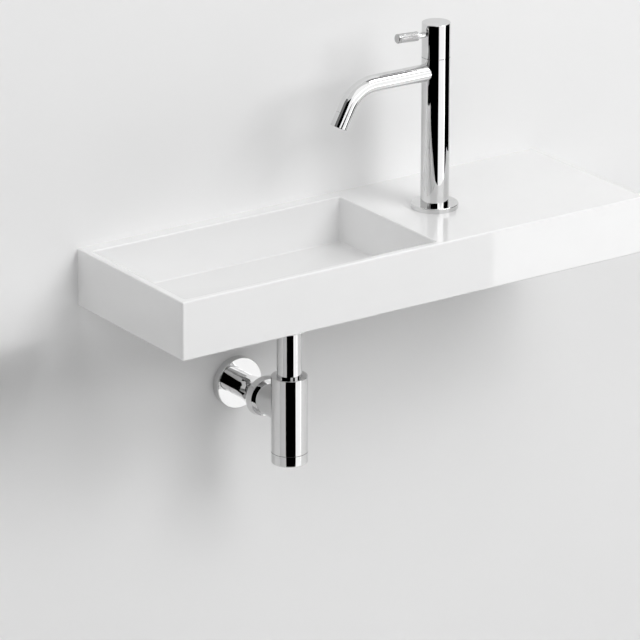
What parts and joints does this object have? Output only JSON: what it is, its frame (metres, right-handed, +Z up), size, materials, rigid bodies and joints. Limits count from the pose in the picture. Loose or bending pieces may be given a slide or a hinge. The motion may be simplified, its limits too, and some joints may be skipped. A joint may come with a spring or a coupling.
{
  "type": "wall-hung hand basin",
  "caption": "Slim wall-hung ceramic hand basin with a side tap deck, a quarter-turn pillar tap with lever, a strainer waste and a bottle trap that runs back to a wall plate.",
  "frame": {"origin": "on the wall plane, at mid-length and mid-height of the back of the basin", "axes": "+X to the right along the wall, +Y into the wall, +Z up; the basin's front faces -Y"},
  "size_m": [0.56, 0.23, 0.4288],
  "materials": {
    "glaze": "gloss white glaze over vitreous china",
    "chrome_plate": "polished chrome plate on brass",
    "bare_brass": "machined",
    "seal_rubber": "moulded",
    "washer_plastic": "moulded",
    "zinc_steel": "zinc plated",
    "disc_ceramic": "lapped"
  },
  "bodies": {
    "fixture": {"basin_body": "glaze", "waste_body": "chrome_plate", "waste_grid": "chrome_plate", "waste_screw": "chrome_plate", "coupling_nut": "chrome_plate", "inlet_tube": "chrome_plate", "trap_top_nut": "chrome_plate", "trap_body": "chrome_plate", "outlet_nut": "chrome_plate", "wall_pipe": "chrome_plate", "wall_flange": "chrome_plate", "base_flange": "chrome_plate", "tap_column": "chrome_plate", "spout": "chrome_plate", "aerator_housing": "chrome_plate", "waste_lock_nut": "bare_brass", "tap_tail": "bare_brass", "tap_lock_nut": "bare_brass", "headpart_body": "bare_brass", "waste_top_seal": "seal_rubber", "waste_under_seal": "seal_rubber", "coupling_seal": "seal_rubber", "trap_top_seal": "seal_rubber", "outlet_seal": "seal_rubber", "base_seal": "seal_rubber", "aerator_seal": "seal_rubber", "headpart_seal": "seal_rubber", "top_hat_washer": "washer_plastic", "waste_friction_washer": "washer_plastic", "aerator_insert": "washer_plastic", "clamp_washer": "zinc_steel", "fixed_disc": "disc_ceramic"},
    "tap_head": {"handle_cap": "chrome_plate", "lever_stud": "chrome_plate", "lever_grip": "chrome_plate", "spindle": "bare_brass", "moving_disc": "disc_ceramic"},
    "cleaning_cup": {"trap_cup": "chrome_plate", "trap_cup_seal": "seal_rubber"}
  },
  "joints": [
    {"name": "handle_turn", "type": "hinge", "parent": "fixture", "child": "tap_head", "pos_m": [0.085, -0.095, 0.2], "axis": [0, 0, 1], "range_deg": [0, 90]},
    {"name": "cup_unscrew", "type": "slide", "parent": "fixture", "child": "cleaning_cup", "axis": [0, 0, -1], "range_m": [0, 0.04]}
  ]
}
